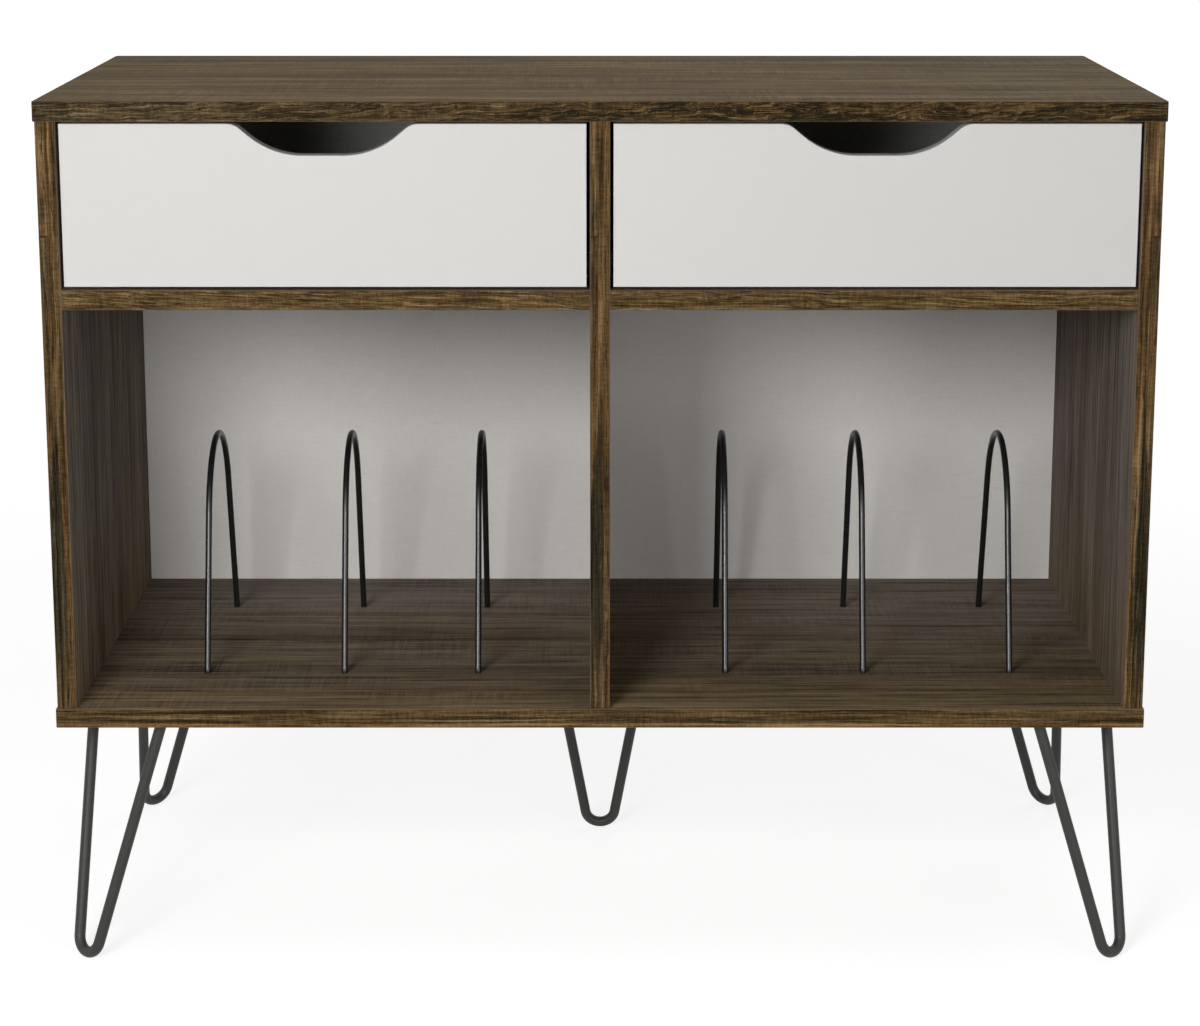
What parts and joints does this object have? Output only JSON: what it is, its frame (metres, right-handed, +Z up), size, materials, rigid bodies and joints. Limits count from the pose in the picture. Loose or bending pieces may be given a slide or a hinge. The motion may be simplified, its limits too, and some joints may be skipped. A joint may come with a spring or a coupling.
{
  "type": "turntable stand",
  "caption": "Low walnut-look cabinet on hairpin legs with drawers under the top and open record bays split by bent wire dividers.",
  "frame": {"origin": "middle of the footprint, on the floor", "axes": "+X to the object's right seen from the front, +Y to the back, +Z up"},
  "size_m": [1, 0.495, 0.804],
  "materials": {
    "walnut": "matte laminate with wood grain",
    "back_board": "matte fine weave",
    "front_paint": "matte paint",
    "drawer_board": "matte melamine",
    "leg_steel": "satin powder coat",
    "divider_steel": "satin powder coat",
    "runner_steel": "satin black coat",
    "roller": "matte",
    "fixing_steel": "zinc plate",
    "screw_steel": "dark zinc plate",
    "dowel_wood": "raw"
  },
  "bodies": {
    "cabinet": {"back_left_leg": "leg_steel", "back_panel": "back_board", "back_right_leg": "leg_steel", "bottom_panel": "walnut", "bottom_screws": "screw_steel", "cabinet_roller_pins": "runner_steel", "cabinet_runner_screws": "screw_steel", "cam_bolts": "fixing_steel", "cam_locks": "fixing_steel", "center_leg": "leg_steel", "center_partition": "walnut", "double_cam_bolts": "fixing_steel", "dowels": "dowel_wood", "front_left_leg": "leg_steel", "front_right_leg": "leg_steel", "left_bay_left_runner": "runner_steel", "left_bay_right_runner": "runner_steel", "left_divider_1": "divider_steel", "left_divider_2": "divider_steel", "left_divider_3": "divider_steel", "left_drawer_shelf": "walnut", "left_side_panel": "walnut", "leg_screws": "screw_steel", "right_bay_left_runner": "runner_steel", "right_bay_right_runner": "runner_steel", "right_divider_1": "divider_steel", "right_divider_2": "divider_steel", "right_divider_3": "divider_steel", "right_drawer_shelf": "walnut", "right_side_panel": "walnut", "top_panel": "walnut"},
    "left_drawer": {"left_drawer_back": "drawer_board", "left_drawer_bottom": "drawer_board", "left_drawer_dowels": "dowel_wood", "left_drawer_front": "front_paint", "left_drawer_left_runner": "runner_steel", "left_drawer_left_side": "drawer_board", "left_drawer_right_runner": "runner_steel", "left_drawer_right_side": "drawer_board", "left_drawer_roller_pins": "runner_steel", "left_drawer_runner_screws": "screw_steel"},
    "right_drawer": {"right_drawer_back": "drawer_board", "right_drawer_bottom": "drawer_board", "right_drawer_dowels": "dowel_wood", "right_drawer_front": "front_paint", "right_drawer_left_runner": "runner_steel", "right_drawer_left_side": "drawer_board", "right_drawer_right_runner": "runner_steel", "right_drawer_right_side": "drawer_board", "right_drawer_roller_pins": "runner_steel", "right_drawer_runner_screws": "screw_steel"},
    "left_bay_left_roller": {"left_bay_left_roller": "roller"},
    "left_bay_right_roller": {"left_bay_right_roller": "roller"},
    "left_drawer_left_roller": {"left_drawer_left_roller": "roller"},
    "left_drawer_right_roller": {"left_drawer_right_roller": "roller"},
    "right_bay_left_roller": {"right_bay_left_roller": "roller"},
    "right_bay_right_roller": {"right_bay_right_roller": "roller"},
    "right_drawer_left_roller": {"right_drawer_left_roller": "roller"},
    "right_drawer_right_roller": {"right_drawer_right_roller": "roller"}
  },
  "joints": [
    {"name": "left_drawer_slide", "type": "slide", "parent": "cabinet", "child": "left_drawer", "axis": [0, -1, 0], "range_m": [0, 0.29]},
    {"name": "right_drawer_slide", "type": "slide", "parent": "cabinet", "child": "right_drawer", "axis": [0, -1, 0], "range_m": [0, 0.29]},
    {"name": "left_bay_left_roller_spin", "type": "hinge", "parent": "cabinet", "child": "left_bay_left_roller", "pos_m": [-0.47425, -0.213, 0.6555], "axis": [1, 0, 0], "continuous": true},
    {"name": "left_bay_right_roller_spin", "type": "hinge", "parent": "cabinet", "child": "left_bay_right_roller", "pos_m": [-0.01525, -0.213, 0.6555], "axis": [1, 0, 0], "continuous": true},
    {"name": "left_drawer_left_roller_spin", "type": "hinge", "parent": "left_drawer", "child": "left_drawer_left_roller", "pos_m": [-0.47425, 0.16, 0.6555], "axis": [1, 0, 0], "continuous": true},
    {"name": "left_drawer_right_roller_spin", "type": "hinge", "parent": "left_drawer", "child": "left_drawer_right_roller", "pos_m": [-0.01525, 0.16, 0.6555], "axis": [1, 0, 0], "continuous": true},
    {"name": "right_bay_left_roller_spin", "type": "hinge", "parent": "cabinet", "child": "right_bay_left_roller", "pos_m": [0.01525, -0.213, 0.6555], "axis": [1, 0, 0], "continuous": true},
    {"name": "right_bay_right_roller_spin", "type": "hinge", "parent": "cabinet", "child": "right_bay_right_roller", "pos_m": [0.47425, -0.213, 0.6555], "axis": [1, 0, 0], "continuous": true},
    {"name": "right_drawer_left_roller_spin", "type": "hinge", "parent": "right_drawer", "child": "right_drawer_left_roller", "pos_m": [0.01525, 0.16, 0.6555], "axis": [1, 0, 0], "continuous": true},
    {"name": "right_drawer_right_roller_spin", "type": "hinge", "parent": "right_drawer", "child": "right_drawer_right_roller", "pos_m": [0.47425, 0.16, 0.6555], "axis": [1, 0, 0], "continuous": true}
  ],
  "couplings": [
    {"joint": "left_bay_left_roller_spin", "follows": "left_drawer_slide", "rad_per_m": 111.11},
    {"joint": "left_bay_right_roller_spin", "follows": "left_drawer_slide", "rad_per_m": 111.11},
    {"joint": "left_drawer_left_roller_spin", "follows": "left_drawer_slide", "rad_per_m": 111.11},
    {"joint": "left_drawer_right_roller_spin", "follows": "left_drawer_slide", "rad_per_m": 111.11},
    {"joint": "right_bay_left_roller_spin", "follows": "right_drawer_slide", "rad_per_m": 111.11},
    {"joint": "right_bay_right_roller_spin", "follows": "right_drawer_slide", "rad_per_m": 111.11},
    {"joint": "right_drawer_left_roller_spin", "follows": "right_drawer_slide", "rad_per_m": 111.11},
    {"joint": "right_drawer_right_roller_spin", "follows": "right_drawer_slide", "rad_per_m": 111.11}
  ]
}
